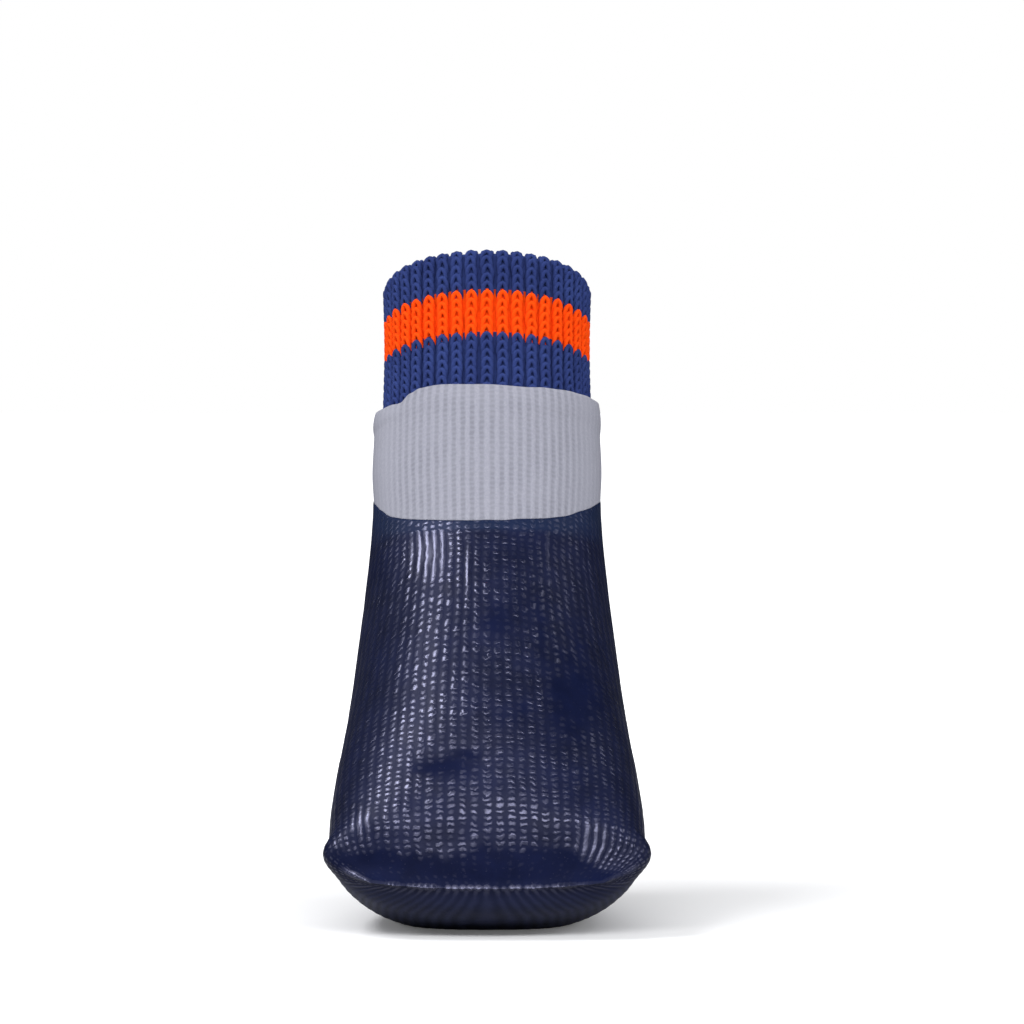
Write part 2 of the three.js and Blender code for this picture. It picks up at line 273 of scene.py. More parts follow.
def seam_rise(points):
    """How far the toe seam stands out at points near it: its soft ridge, and its crinkled crest."""
    flat = points.reshape(-1, 3)
    soft = np.zeros(len(flat))
    crest = np.zeros(len(flat))
    near = np.where(flat[:, 1] < TOE_Y + 0.4 * FOOT_LENGTH)[0]
    for place, height, width in zip(*SEAM):
        distance = np.linalg.norm(flat[near] - place, axis=1)
        ear = float(smoothstep(height, SEAM_HEIGHT, EAR_HEIGHT))
        soft_height = height * (SEAM_SOFT_SHARE + (1 - SEAM_SOFT_SHARE) * ear)
        soft[near] = np.maximum(soft[near], soft_height * np.exp(-((distance / width) ** 2)))
        crest[near] = np.maximum(crest[near], (1 - ear) * np.exp(-((distance / SEAM_CREST) ** 2)))
    crinkle = 0.26 + 0.22 * soft_noise(flat, 1.4 * MM, 11)
    return soft.reshape(points.shape[:-1]), (crest * np.maximum(crinkle, 0)).reshape(points.shape[:-1])


# Meshes


def mesh_from_rings(name, rings, uvs, open_below=False, **masks):
    """A closed mesh from rings of points. A mask is a number for each point, kept as an attribute.
    uvs are (rows, columns + 1, 2), so that the pattern closes on itself."""
    rows, columns = rings.shape[:2]
    pairs = rows if open_below else rows - 1
    lower = np.arange(pairs)[:, None] * columns
    upper = (np.arange(1, pairs + 1) % rows)[:, None] * columns
    here = np.arange(columns)[None, :]
    there = (here + 1) % columns
    quads = np.stack([lower + here, lower + there, upper + there, upper + here], -1).reshape(-1, 4)
    low_row, high_row = np.arange(pairs)[:, None], (np.arange(1, pairs + 1) % rows)[:, None]
    corners = np.stack(
        [uvs[low_row, here], uvs[low_row, here + 1], uvs[high_row, here + 1], uvs[high_row, here]], -2
    ).reshape(-1, 2)
    mesh = bpy.data.meshes.new(name)
    mesh.from_pydata(rings.reshape(-1, 3), [], quads)
    layer = mesh.uv_layers.new(name="knit")
    layer.data.foreach_set("uv", corners.astype(np.float32).ravel())
    for mask, values in masks.items():
        attribute = mesh.attributes.new(mask, "FLOAT", "POINT")
        numbers = np.broadcast_to(values, (rows, columns)).astype(np.float32)
        attribute.data.foreach_set("value", numbers.ravel())
    mesh.polygons.foreach_set("use_smooth", np.ones(len(quads), bool))
    piece = bpy.data.objects.new(name, mesh)
    bpy.context.scene.collection.objects.link(piece)
    return piece


def weld(piece):
    """Closes the toe seam, where the first row's points lie in pairs, and turns all faces outwards."""
    work = bmesh.new()
    work.from_mesh(piece.data)
    bmesh.ops.remove_doubles(work, verts=work.verts, dist=1e-6)
    bmesh.ops.dissolve_degenerate(work, edges=work.edges, dist=1e-7)
    bmesh.ops.recalc_face_normals(work, faces=work.faces)
    work.to_mesh(piece.data)
    work.free()


# The wales are evened round the boot, so that they are as narrow in front as in the photograph.
# Columns: row of the last, share.
WALE_EVENING = (
    (0.0, 0.03),
    (2.0, 0.05),
    (4.0, 0.09),
    (6.0, 0.12),
    (8.0, 0.135),
    (10.0, 0.10),
    (11.0, 0.04),
    (13.0, 0.03),
)


def turns(columns):
    return np.arange(columns)[None, :] / columns * 2 * math.pi


def wale_place(along, turn):
    """The place round the last of a wale, counted as a turn."""
    rows, shares = zip(*WALE_EVENING)
    return turn - np.interp(along, rows, shares) * np.sin(2 * turn)


def ring_uvs(courses):
    """Wales counted round the piece, and courses counted along each wale."""
    columns = courses.shape[1]
    wales = np.arange(columns + 1) / columns * WALE_COUNT
    closed = np.concatenate([courses, courses[:, :1]], axis=1)
    return np.stack(np.broadcast_arrays(wales[None, :], closed), -1)


def courses_along(rings, course_length):
    """How many courses each ring lies from the first, counted along each wale."""
    steps = np.linalg.norm(np.diff(rings, axis=0), axis=2) / course_length
    return np.concatenate([np.zeros((1, rings.shape[1])), np.cumsum(steps, axis=0)])


def smooth_line(around, table):
    """The height of an uneven line round the boot, from a table of places in degrees and heights."""
    places, heights = (np.array(column) for column in zip(*table))
    degrees = np.degrees(np.angle(np.exp(1j * around)))
    index = np.clip(np.searchsorted(places, degrees) - 1, 0, len(places) - 2)
    share = smoothstep(degrees, places[index], places[index + 1])
    return heights[index] * (1 - share) + heights[index + 1] * share


# The dipped coat

WALE_RELIEF = 0.05 * MM
COAT_COLUMNS = WALE_COUNT * 6
TOE_RINGS = 70
FOOT_RINGS = 110
COAT_LINING_ROWS = (9.5, 8.5, 7.5, 6.5, 5.5, 4.5, 3.5, 2.6, 2, 1.3, 0.8, 0.35, 0)

# Above the toe seam the rubber is plain, up to a ragged level between these two.
TOE_PLAIN_FROM = 12.2 * MM
TOE_PLAIN_TO = 14.4 * MM
# The stitches fade on the sides and the back of the foot, above these levels.
SIDE_FADE_FROM = 20 * MM
SIDE_FADE_TO = 36 * MM


def wale_profile(turn):
    """A rounded ridge for each wale, from 0 in the groove to 1 on top."""
    return 0.5 + 0.5 * np.cos(turn * WALE_COUNT)


# Soft troughs and swells of the instep, in millimetres.
# Columns: height above the floor, place across, depth, half height, half width.
INSTEP_FOLDS = (
    (26.0, -7.5, -0.30, 2.6, 6.0),
    (21.0, -9.0, -0.18, 1.5, 3.5),
    (21.5, 3.0, 0.20, 3.0, 10.0),
    (17.0, -15.0, 0.25, 3.0, 4.5),
    (17.0, 8.0, 0.15, 2.8, 9.0),
    (38.0, 6.0, -0.30, 7.0, 5.0),
    (44.0, -9.0, 0.35, 9.0, 4.0),
    (52.0, 9.0, -0.25, 6.0, 5.0),
    (33.0, -17.0, -0.25, 6.0, 4.0),
    (10.8, 0.0, 0.35, 2.6, 22.0),
)
# Places where the rubber lies thick and the stitches hardly show.
# Columns: height above the floor, place across, half height, half width, share hidden.
THICK_PATCHES = (
    (26.0, -7.0, 2.0, 5.2, 1.0),
    (27.6, -3.0, 1.2, 3.4, 0.8),
    (34.0, 5.0, 3.5, 4.0, 0.6),
    (47.0, 1.5, 4.5, 3.0, 0.7),
    (36.0, 13.5, 8.5, 5.5, 0.95),
    (46.0, 8.5, 9.0, 1.2, 0.6),
)
# Places where the stitches of a wale run together under the rubber.
# Columns: height above the floor, place across, half height, half width, strength.
RUNS = (
    (57.5, -9.2, 5.2, 3.8, 1.0),
    (55.0, -2.9, 6.0, 1.0, 0.7),
    (58.0, 9.6, 5.0, 1.2, 0.6),
    (14.5, 16.2, 4.6, 3.8, 0.75),
    (17.5, -19.0, 3.5, 2.6, 0.7),
)


def spot(point, height, across, half_height, half_width):
    """A soft round mask on the instep, 1 in its middle."""
    x, z = point[..., 0] / MM, point[..., 2] / MM
    return np.exp(-(((z - height) / half_height) ** 2) - ((x - across) / half_width) ** 2)


def facing_front(around):
    return smoothstep(np.cos(around), 0.0, 0.4)


def instep_folds(point, around):
    total = 0
    for height, across, depth, half_height, half_width in INSTEP_FOLDS:
        total = total + depth * spot(point, height, across, half_height, half_width)
    return total * facing_front(around) * MM


def knit_shows(around, point):
    """How clearly the stitches show through the rubber, from 0 to 1."""
    front = smoothstep(np.cos(around), -0.2, 0.3)
    wavering = 0.8 * MM * soft_noise(point, 5 * MM, 2)
    across = point[..., 0]
    right_side = 4.2 * MM * smoothstep(across, 8 * MM, 21 * MM) - 1.0 * MM * smoothstep(across, -8 * MM, 0)
    ragged = 0.7 * MM * soft_noise(point, 1.6 * MM, 9)
    level = point[..., 2] + wavering + ragged + right_side
    toe_plain = front * (1 - smoothstep(level, TOE_PLAIN_FROM, TOE_PLAIN_TO))
    thick = 0
    for *place, hidden in THICK_PATCHES:
        thick = np.maximum(thick, hidden * spot(point, *place) * facing_front(around))
    thick = smoothstep(thick + 0.22 * soft_noise(point, 1.8 * MM, 6), 0.1, 0.95)
    sides = smoothstep(0.62 - np.cos(around), 0, 0.5) * (1 - 0.5 * smoothstep(-np.cos(around), 0.2, 0.8))
    sides = sides * smoothstep(point[..., 2], SIDE_FADE_FROM, SIDE_FADE_TO)
    shows = (0.85 + 0.3 * soft_noise(point, 6 * MM, 3)) * (1 - 0.85 * sides)
    return np.clip(shows * (1 - 0.92 * toe_plain) * (1 - 0.95 * thick), 0, 1)


def wales_run(point, around):
    total = 0
    for *place, strength in RUNS:
        total = np.maximum(total, strength * spot(point, *place) * facing_front(around))
    return total


def coat_relief(along, turn, point, shows):
    """The knit's wales as they show through the rubber."""
    nodules = 0.85 + 0.4 * soft_noise(point, 1.0 * MM, 5)
    skin = soft_noise(point, 2.0 * MM, 8) * 0.025 * MM
    return (wale_profile(turn) * WALE_RELIEF * nodules * shows + skin) * smoothstep(along, 0.3, 1.2)


# The rubber's top edge rises and dips. Columns: place round in degrees from the front, rise.
EDGE_LINE = (
    (-180, 0.0 * MM),
    (-130, 0.3 * MM),
    (-92, 1.6 * MM),
    (-78, 1.3 * MM),
    (-67, 0.6 * MM),
    (-56, -0.2 * MM),
    (-30, -0.1 * MM),
    (0, 0.0 * MM),
    (24, 0.45 * MM),
    (40, 0.75 * MM),
    (54, 1.5 * MM),
    (74, 1.9 * MM),
    (92, 1.6 * MM),
    (130, 0.3 * MM),
    (180, 0.0 * MM),
)


def coat_edge(around):
    """The row of the rubber's top edge, a little uneven."""
    uneven = 0.12 * MM * soft_noise(last.point(EDGE_ROW, around), 2.6 * MM, 17)
    return EDGE_ROW + edge_rise(around) + (smooth_line(around, EDGE_LINE) + uneven) / ROW_HEIGHT


# The rubber thins out to its top edge. Depths are in millimetres under the last.
# Columns: rows under the edge, depth of the outside, depth of the inside.
EDGE_TAPER = (
    (0.30, 0.00, 1.00),
    (0.16, 0.00, 0.60),
    (0.06, 0.02, 0.25),
    (0.00, 0.07, 0.10),
)


def rubber_coat():
    turn = turns(COAT_COLUMNS)
    toe, foot = np.linspace(0, 3.5, TOE_RINGS)[:-1], np.linspace(3.5, EDGE_ROW - 0.35, FOOT_RINGS)
    along = np.concatenate([toe, foot])[:, None]
    around = wale_place(along, turn)
    point = last.point(along, around)
    shows = knit_shows(around, point)
    seam, crest = seam_rise(point)
    relief = coat_relief(along, turn, point, shows) + instep_folds(point, around)
    relief = relief * (1 - smoothstep(along, EDGE_ROW - 0.9, EDGE_ROW - 0.35))
    rise = np.where(point[..., 2] <= 1e-7, 0, seam + crest * MM + relief)
    outside = point + last.normal(along, around) * rise[..., None]
    outside[..., 2] = np.maximum(outside[..., 2], 0)

    edge_around = wale_place(EDGE_ROW, turn)
    edge = coat_edge(edge_around)
    lips_out, lips_in = [], []
    for below, outer, inner in EDGE_TAPER:
        lip, normal = last.point(edge - below, edge_around), last.normal(edge - below, edge_around)
        lips_out.append(lip - normal * (outer * MM))
        lips_in.append(lip - normal * (inner * MM))
    inner_along = np.array(COAT_LINING_ROWS)[:, None]
    inner_around = wale_place(inner_along, turn)
    wall = coat_wall(inner_along, inner_around)
    inside = last.point(inner_along, inner_around) - last.normal(inner_along, inner_around) * wall[..., None]
    rings = np.concatenate([outside, *lips_out, *lips_in[::-1], inside])
    front = np.concatenate([outside, *lips_out])
    middles = (front[1:, :, 2] + front[:-1, :, 2]) / 2
    stretch = smoothstep(middles, 28 * MM, 44 * MM) * (1 - smoothstep(middles, 52 * MM, 60 * MM))
    courses = courses_along(front, TOE_COURSE + (INSTEP_COURSE - TOE_COURSE) * stretch)
    courses = np.concatenate([courses, np.zeros((len(rings) - len(front), COAT_COLUMNS))])
    rest = np.zeros((len(rings) - len(along), COAT_COLUMNS))
    thin = np.concatenate([0 * around + smoothstep(along, EDGE_ROW - 0.55, EDGE_ROW - 0.15), rest + 1])
    under = np.concatenate([smoothstep(-last.normal(along, around)[..., 2], 0.05, 0.6), rest])
    runs = np.concatenate([wales_run(point, around), rest])
    shows = np.concatenate([shows, rest + shows[-1]])
    masks = {
        "knit_shows": shows,
        "wales_run": runs,
        "thin_rubber": thin,
        "underside": under,
        "seam_crest": np.concatenate([crest, rest]),
    }
    piece = mesh_from_rings("dipped_coat", rings, ring_uvs(courses), **masks)
    weld(piece)
    return piece


# The grey sock

LEG_RELIEF = 0.10 * MM
SOCK_COLUMNS = WALE_COUNT * 6
LEG_STEPS = 76
SHOULDER_BULGE = 0.22 * MM
HIDDEN_ROWS = (0, 0.35, 0.8, 1.3, 2, 2.6, 3.3, 4, 5, 6, 7, 7.6, 8.2, 8.8, 9.5, 10.2)

# The sock steps out from under the rubber. Columns: rows under the edge, depth in millimetres under the last.
EDGE_STEP = (
    (0.30, 1.15),
    (0.16, 0.75),
    (0.06, 0.40),
    (0.01, 0.20),
)

# The neck's edge isn't level: how far it rises or dips along the cuff.
# Columns: place round in degrees from the front, rise.
NECK_LINE = (
    (-180, -0.3 * MM),
    (-125, -0.8 * MM),
    (-90, -0.9 * MM),
    (-60, -1.7 * MM),
    (-50, -2.0 * MM),
    (-42, -0.8 * MM),
    (-36, -0.3 * MM),
    (-26, -0.2 * MM),
    (-5, -0.55 * MM),
    (18, -0.8 * MM),
    (32, -0.45 * MM),
    (50, -0.1 * MM),
    (66, 0.25 * MM),
    (90, 1.0 * MM),
    (125, 0.4 * MM),
    (180, -0.3 * MM),
)


def leg_clear(around):
    """The wales show in front, and fade towards the sides."""
    return 0.25 + 0.75 * smoothstep(np.cos(around), 0.45, 0.8)


def leg_relief(turn, around, courses):
    """Narrow pale wales, each a column of stitches with a small step at every course."""
    step = 0.5 + 0.5 * np.cos(courses * 2 * math.pi)
    return LEG_RELIEF * wale_profile(turn) ** 1.5 * (0.85 + 0.15 * step) * leg_clear(around)


def knit_sock():
    turn = turns(SOCK_COLUMNS)
    stations = np.array(HIDDEN_ROWS)[:, None]
    gap = TOE_FIT_GAP + (FIT_GAP - TOE_FIT_GAP) * smoothstep(stations, 0, 1.5)
    around = wale_place(stations, turn)
    hidden_depth = coat_wall(stations, around) + gap
    normal = last.normal(stations, around)
    point = last.point(stations, around)
    under = point - normal * hidden_depth[..., None]
    lining = point - normal * (hidden_depth + KNIT_WALL)[..., None]

    around = wale_place(EDGE_ROW, turn)
    edge = coat_edge(around)
    step = []
    for below, depth in EDGE_STEP:
        step.append(last.point(edge - below, around) - last.normal(edge - below, around) * (depth * MM))
    share = np.linspace(0, 1, LEG_STEPS)[:, None]
    leg_along = edge + 0.01 + (last.last_row - edge - 0.01) * share
    leg_around = wale_place(leg_along, turn)
    leg_point = last.point(leg_along, leg_around)
    leg_rise = leg_relief(turn, leg_around, share * (LEG_HEIGHT + 3 * MM) / LEG_COURSE)
    leg_rise = leg_rise - 0.12 * MM + 0.10 * MM * soft_noise(leg_point, 9 * MM, 23)
    leg = leg_point + last.normal(leg_along, leg_around) * leg_rise[..., None]

    around = wale_place(last.last_row, turn)
    wave = smooth_line(around, NECK_LINE)[..., None] * CUFF_AXIS
    neck_out = cuff.point(0.10, around) + cuff.normal(0.10, around) * (FIT_GAP + 1.1 * MM) + wave
    neck_top = cuff.point(0.12, around) + cuff.normal(0.12, around) * (FIT_GAP + 0.1 * MM) + wave
    neck_in = cuff.point(0.02, around) + cuff.normal(0.02, around) * FIT_GAP + wave
    shoulder = leg[-1:]
    outwards = last.normal(last.last_row, around)
    roll = []
    for place in np.linspace(0, 1, 9)[1:-1]:
        blend = shoulder * (1 - place) + neck_out * place
        roll.append(blend + outwards * (SHOULDER_BULGE * math.sin(place * math.pi)))
    inner_stations = np.array([EDGE_ROW + 0.45, EDGE_ROW + 1, EDGE_ROW + 1.5, last.last_row])[:, None]
    inwards = last.normal(inner_stations, around) * (KNIT_WALL + KNIT_INSET)
    leg_lining = last.point(inner_stations, around) - inwards
    rings = np.concatenate(
        [under, *step, leg, *roll, neck_out, neck_top, neck_in, leg_lining[::-1], lining[::-1]]
    )
    uvs = ring_uvs(courses_along(rings, LEG_COURSE))
    piece = mesh_from_rings("knitted_sock", rings, uvs, knit_clear=leg_clear(around))
    weld(piece)
    return piece


# The ribbed cuff

SHELL_DEPTH = 0.55 * MM
RIB_VALLEY = 0.35 * MM
INNER_RIB = 0.2 * MM
CUFF_TUCK = 1.2 * MM
TUCK_NARROWING = 0.35 * MM
RIB_COLUMNS = RIB_COUNT * 8
CLOTH_STEPS = 4

# One loop of yarn: an arch whose legs tuck behind the arch below
LOOP_POINTS = 11
YARN_SIDES = 7
YARN_RADIUS = 0.40 * MM
LOOP_DEPTH = 0.45 * MM
LOOP_WIDTH = 0.26
LOOP_LENGTH = 1.6
LOOP_TUCK = 0.70 * MM
LOOP_LIFT = 0.29
LOOP_BOW = 2.3
LOOP_UNEVENNESS = 0.05
LOOP_SEED = 31


def cuff_axis():
    front, back = cuff.lines[0], cuff.lines[1]
    middle = (front + back) / 2
    return unit(middle[-1] - middle[-2])


CUFF_AXIS = cuff_axis()
COURSE_LENGTH = float(np.linalg.norm(cuff.lines[0][-1] - cuff.lines[0][0])) / CUFF_COURSES


def evened(turn):
    """The place round the cuff of a rib, so that the ribs keep one pitch all round."""
    return turn - RIB_EVENING * np.sin(2 * turn)


def rolled(course, turn, depth):
    """A point set in by a depth from the cuff's surface. Courses count down from the rim; under the first one
    the cloth rolls over the rim, and past the last one it goes down into the sock's neck."""
    around = evened(turn)
    along = (1 - np.clip(course, 0, CUFF_COURSES) / CUFF_COURSES) * cuff.last_row
    point, normal = cuff.point(along, around), cuff.normal(along, around)
    radius = CUFF_WALL / 2
    over = np.clip(1 - course, 0, 3) / 3 * math.pi
    inward = radius - (radius - depth) * np.cos(over)
    tucked = np.maximum(course - CUFF_COURSES, 0)
    lift = (radius - depth) * np.sin(over) - radius * smoothstep(1 - course, 0, 1) - tucked * COURSE_LENGTH
    return point - normal * (inward + TUCK_NARROWING * tucked)[..., None] + CUFF_AXIS * lift[..., None]


def ribbed_shell():
    """The cloth between and behind the stitches, doubled, with a valley beside each rib."""
    turn = turns(RIB_COLUMNS)
    courses = np.concatenate([np.linspace(CUFF_COURSES + 1.2, 1, 44), np.linspace(1, -2, 16)[1:]])[:, None]
    rib = 0.5 + 0.5 * np.cos(turn * RIB_COUNT)
    depth = SHELL_DEPTH + RIB_VALLEY * (1 - rib) * smoothstep(courses, 0.2, 1.5) + 0 * courses
    outside = rolled(courses + 0 * turn, turn + 0 * courses, depth)
    around = evened(turn)
    foot_inside = cuff.point(0, around) - cuff.normal(0, around) * CUFF_WALL - CUFF_AXIS * CUFF_TUCK
    inner_courses = np.linspace(1.2, CUFF_COURSES, 30)[:, None]
    inner_along = (1 - inner_courses / CUFF_COURSES) * cuff.last_row
    inner_wall = CUFF_WALL - INNER_RIB * (0.5 - 0.5 * np.cos(turn * RIB_COUNT))
    inside = cuff.point(inner_along, around) - cuff.normal(inner_along, around) * inner_wall[..., None]
    rings = np.concatenate([outside, inside, foot_inside])
    numbers = np.concatenate([courses[:, 0] + 0.4, np.full(len(inner_courses) + 1, -1)])[:, None]
    uvs = ring_uvs(np.broadcast_to(numbers, rings.shape[:2]))
    return mesh_from_rings("cuff_shell", rings, uvs, open_below=True, course=numbers)


def cuff_cloth():
    """The surface that the loops follow, with a UV map of ribs and courses, and a way out at each point."""
    ribs = np.linspace(-1, RIB_COUNT + 1, (RIB_COUNT + 2) * CLOTH_STEPS + 1)
    courses = np.linspace(-2, CUFF_COURSES + 3, (CUFF_COURSES + 5) * CLOTH_STEPS + 1)
    rib, course = np.meshgrid(ribs, courses)
    turn = rib * 2 * math.pi / RIB_COUNT
    point = rolled(course, turn, LOOP_DEPTH)
    out = unit(point - rolled(course, turn, LOOP_DEPTH + 0.2 * MM))
    rows, columns = rib.shape
    corner = (np.arange(rows - 1)[:, None] * columns + np.arange(columns - 1)).ravel()
    quads = np.stack([corner, corner + 1, corner + columns + 1, corner + columns], -1)
    mesh = bpy.data.meshes.new("cuff cloth")
    mesh.from_pydata(point.reshape(-1, 3), [], quads)
    flat = np.stack([rib.ravel(), course.ravel()], -1)
    layer = mesh.uv_layers.new(name="knit")
    layer.data.foreach_set("uv", flat[quads.ravel()].astype(np.float32).ravel())
    way_out = mesh.attributes.new("out", "FLOAT_VECTOR", "POINT")
    way_out.data.foreach_set("vector", out.astype(np.float32).ravel())
    piece = bpy.data.objects.new("rib_stitches", mesh)
    bpy.context.scene.collection.objects.link(piece)
    return piece


# The inputs of the tree of loops, besides the cloth. Columns: name, kind of socket, value.
LOOP_INPUTS = (
    ("Ribs", "NodeSocketInt", RIB_COUNT),
    ("Courses", "NodeSocketInt", CUFF_COURSES + 2),
    ("Yarn radius", "NodeSocketFloat", YARN_RADIUS),
    ("Loop width", "NodeSocketFloat", LOOP_WIDTH),
    ("Loop length", "NodeSocketFloat", LOOP_LENGTH),
    ("Loop tuck", "NodeSocketFloat", LOOP_TUCK),
    ("Unevenness", "NodeSocketFloat", LOOP_UNEVENNESS),
    ("Seed", "NodeSocketInt", LOOP_SEED),
    ("Material", "NodeSocketMaterial", None),
)


def loop_tree():
    """Geometry Nodes that lay a loop of yarn at every course of every rib, over a cloth's UV map."""
    tree = bpy.data.node_groups.new("yarn loops", "GeometryNodeTree")
    tree.interface.new_socket("Cloth", in_out="INPUT", socket_type="NodeSocketGeometry")
    tree.interface.new_socket("Loops", in_out="OUTPUT", socket_type="NodeSocketGeometry")
    for name, kind, _ in LOOP_INPUTS:
        tree.interface.new_socket(name, in_out="INPUT", socket_type=kind)
    make = Nodes(tree)
    given = make.add("NodeGroupInput").outputs

    def combined(x, y, z):
        node = make.add("ShaderNodeCombineXYZ")
        for socket, value in zip(node.inputs, (x, y, z)):
            make.set(socket, value)
        return node.outputs[0]

    def split(vector):
        node = make.add("ShaderNodeSeparateXYZ")
        make.link(vector, node.inputs[0])
        return node.outputs

    def vectors(operation, one, two):
        node = make.add("ShaderNodeVectorMath", operation=operation)
        make.set(node.inputs[0], one)
        make.set(node.inputs["Scale"] if operation == "SCALE" else node.inputs[1], two)
        return node.outputs[0]

    def moved(geometry, place):
        node = make.add("GeometryNodeSetPosition")
        make.link(geometry, node.inputs["Geometry"])
        make.link(place, node.inputs["Position"])
        return node.outputs[0]

    grid = make.add("GeometryNodeMeshGrid")
    ribs, courses = given["Ribs"], given["Courses"]
    make.link(ribs, grid.inputs["Vertices X"])
    make.link(courses, grid.inputs["Vertices Y"])
    make.link(make.maths("SUBTRACT", ribs, 1), grid.inputs["Size X"])
    make.link(make.maths("SUBTRACT", courses, 1), grid.inputs["Size Y"])
    place = make.add("GeometryNodeInputPosition").outputs[0]
    first = combined(
        make.maths("MULTIPLY_ADD", ribs, 0.5, -0.5), make.maths("MULTIPLY_ADD", courses, 0.5, -1.5), 0.0
    )
    spots = moved(grid.outputs["Mesh"], vectors("ADD", place, first))
    keep = make.add("GeometryNodeStoreNamedAttribute", data_type="FLOAT", domain="POINT")
    make.link(spots, keep.inputs["Geometry"])
    keep.inputs["Name"].default_value = "course"
    make.link(make.maths("ADD", split(place)[1], 0.5), keep.inputs["Value"])
    chance = make.add("FunctionNodeRandomValue", data_type="FLOAT_VECTOR")
    chance.inputs["Min"].default_value = (-1, -1, -1)
    make.link(given["Seed"], chance.inputs["Seed"])
    shift = split(vectors("SCALE", chance.outputs["Value"], given["Unevenness"]))
    sideways = make.maths("MULTIPLY", shift[0], 0.5)
    spots = moved(keep.outputs[0], vectors("ADD", place, combined(sideways, shift[1], 0)))

    line = make.add("GeometryNodeCurvePrimitiveLine")
    line.inputs["End"].default_value = (1, 0, 0)
    points = make.add("GeometryNodeResampleCurve")
    make.link(line.outputs[0], points.inputs["Curve"])
    points.inputs["Count"].default_value = LOOP_POINTS
    share = make.maths("MULTIPLY_ADD", make.add("GeometryNodeSplineParameter").outputs["Factor"], 2, -1)
    away = make.maths("ABSOLUTE", share)
    bow = make.maths("SINE", make.maths("MULTIPLY", share, LOOP_BOW))
    across = make.maths("MULTIPLY", bow, given["Loop width"])
    down = make.maths("MULTIPLY", make.maths("POWER", away, 1.6), given["Loop length"])
    arch = make.maths("SUBTRACT", LOOP_LIFT, make.maths("POWER", away, 3))
    out = make.maths("MULTIPLY", arch, given["Loop tuck"])
    loop = moved(points.outputs[0], combined(across, down, out))
    thickness = make.add("GeometryNodeSetCurveRadius")
    make.link(loop, thickness.inputs["Curve"])
    make.link(make.maths("MULTIPLY_ADD", make.maths("POWER", away, 4), -0.3, 1.0), thickness.inputs["Radius"])

    laid = make.add("GeometryNodeInstanceOnPoints")
    make.link(spots, laid.inputs["Points"])
    make.link(thickness.outputs[0], laid.inputs["Instance"])
    lean = make.add("FunctionNodeEulerToRotation")
    make.link(combined(0, 0, shift[2]), lean.inputs[0])
    make.link(lean.outputs[0], laid.inputs["Rotation"])
    flat = make.add("GeometryNodeRealizeInstances")
    make.link(laid.outputs[0], flat.inputs[0])

    def on_cloth(value):
        node = make.add("GeometryNodeSampleUVSurface", data_type="FLOAT_VECTOR")
        make.link(given["Cloth"], node.inputs["Mesh"])
        make.link(value, node.inputs["Value"])
        knit = make.add("GeometryNodeInputNamedAttribute", data_type="FLOAT_VECTOR")
        knit.inputs["Name"].default_value = "knit"
        make.link(knit.outputs[0], node.inputs["Source UV Map"])
        make.link(place, node.inputs["Sample UV"])
        return node.outputs["Value"]

    way_out = make.add("GeometryNodeInputNamedAttribute", data_type="FLOAT_VECTOR")
    way_out.inputs["Name"].default_value = "out"
    lifted = vectors("SCALE", on_cloth(way_out.outputs[0]), split(place)[2])
    curves = moved(flat.outputs[0], vectors("ADD", on_cloth(place), lifted))
    round_yarn = make.add("GeometryNodeCurvePrimitiveCircle")
    round_yarn.inputs["Resolution"].default_value = YARN_SIDES
    make.link(given["Yarn radius"], round_yarn.inputs["Radius"])
    yarn = make.add("GeometryNodeCurveToMesh")
    make.link(curves, yarn.inputs["Curve"])
    make.link(round_yarn.outputs[0], yarn.inputs["Profile Curve"])
    yarn.inputs["Fill Caps"].default_value = True
    smooth = make.add("GeometryNodeSetShadeSmooth")
    real = make.add("GeometryNodeRealizeInstances")
    coloured = make.add("GeometryNodeSetMaterial")
    make.link(yarn.outputs[0], smooth.inputs["Geometry"])
    make.link(smooth.outputs[0], real.inputs[0])
    make.link(real.outputs[0], coloured.inputs["Geometry"])
    make.link(given["Material"], coloured.inputs["Material"])
    make.link(coloured.outputs[0], make.add("NodeGroupOutput").inputs[0])
    return tree


def rib_stitches(material):
    """The cuff's loops of yarn, made by the tree and kept as a plain mesh."""
    piece = cuff_cloth()
    modifier = piece.modifiers.new("loops", "NODES")
    modifier.node_group = loop_tree()
    values = {name: value for name, _, value in LOOP_INPUTS}
    values["Material"] = material
    for socket in modifier.node_group.interface.items_tree:
        if socket.name in values:
            modifier[socket.identifier] = values[socket.name]
    evaluated = piece.evaluated_get(bpy.context.evaluated_depsgraph_get())
    mesh = bpy.data.meshes.new_from_object(evaluated)
    piece.modifiers.clear()
    piece.data = mesh
    mesh.name = "rib_stitches"
    return piece


# Materials


def srgb(red, green, blue):
    """A colour given in 0 to 255 as the renderer's linear colour."""
    values = []
    for value in (red, green, blue):
        share = value / 255
        values.append(share / 12.92 if share <= 0.04045 else ((share + 0.055) / 1.055) ** 2.4)
    return (*values, 1)


